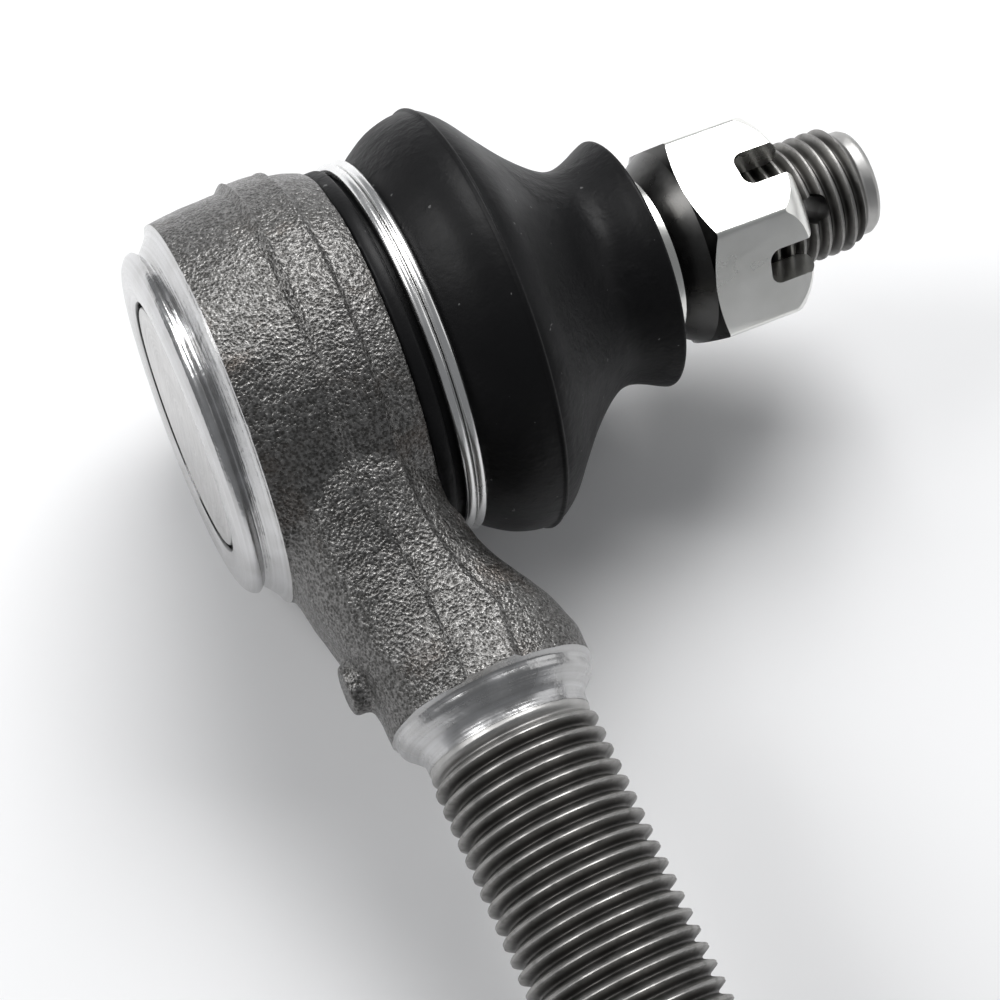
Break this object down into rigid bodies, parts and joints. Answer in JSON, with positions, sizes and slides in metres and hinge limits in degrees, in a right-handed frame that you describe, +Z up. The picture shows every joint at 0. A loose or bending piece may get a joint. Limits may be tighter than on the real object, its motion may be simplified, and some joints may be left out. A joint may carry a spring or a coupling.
{
  "type": "tie rod end",
  "caption": "Outer steering ball joint: forged socket on a threaded shank, swinging taper stud with castle nut, rubber boot held by a wire ring.",
  "frame": {"origin": "centre of the ball, on the axes of both the stud and the shank", "axes": "+X along the stud to its threaded end, -Y along the threaded shank, +Z up with the joint lying on its side"},
  "size_m": [0.0638, 0.1108, 0.0376],
  "materials": {
    "forged_steel": "shot-blasted forging, dark and grainy",
    "plug_steel": "satin, turned",
    "spring_steel": "oiled",
    "seat_plastic": "natural acetal",
    "stud_steel": "ground taper, rolled thread",
    "zinc_plate": "satin zinc plate",
    "boot_rubber": "semi-matte moulded rubber",
    "clip_wire": "bright drawn wire"
  },
  "bodies": {
    "housing": {"socket_housing": "forged_steel", "end_plug": "plug_steel", "preload_spring": "spring_steel", "boot_clip": "clip_wire"},
    "seats": {"lower_seat": "seat_plastic", "upper_seat": "seat_plastic", "dust_boot": "boot_rubber"},
    "boot_lip": {"boot_lip_ring": "spring_steel"},
    "stud": {"ball_stud": "stud_steel", "castle_nut": "zinc_plate"}
  },
  "joints": [
    {"name": "stud_direction", "type": "hinge", "parent": "housing", "child": "seats", "pos_m": [0, 0, 0], "axis": [1, 0, 0], "continuous": true},
    {"name": "stud_swing", "type": "hinge", "parent": "seats", "child": "boot_lip", "pos_m": [0, 0, 0], "axis": [0, 0, 1], "range_deg": [-20, 20], "deforming": ["dust_boot"]},
    {"name": "stud_spin", "type": "hinge", "parent": "boot_lip", "child": "stud", "pos_m": [0, 0, 0], "axis": [1, 0, 0], "continuous": true}
  ]
}
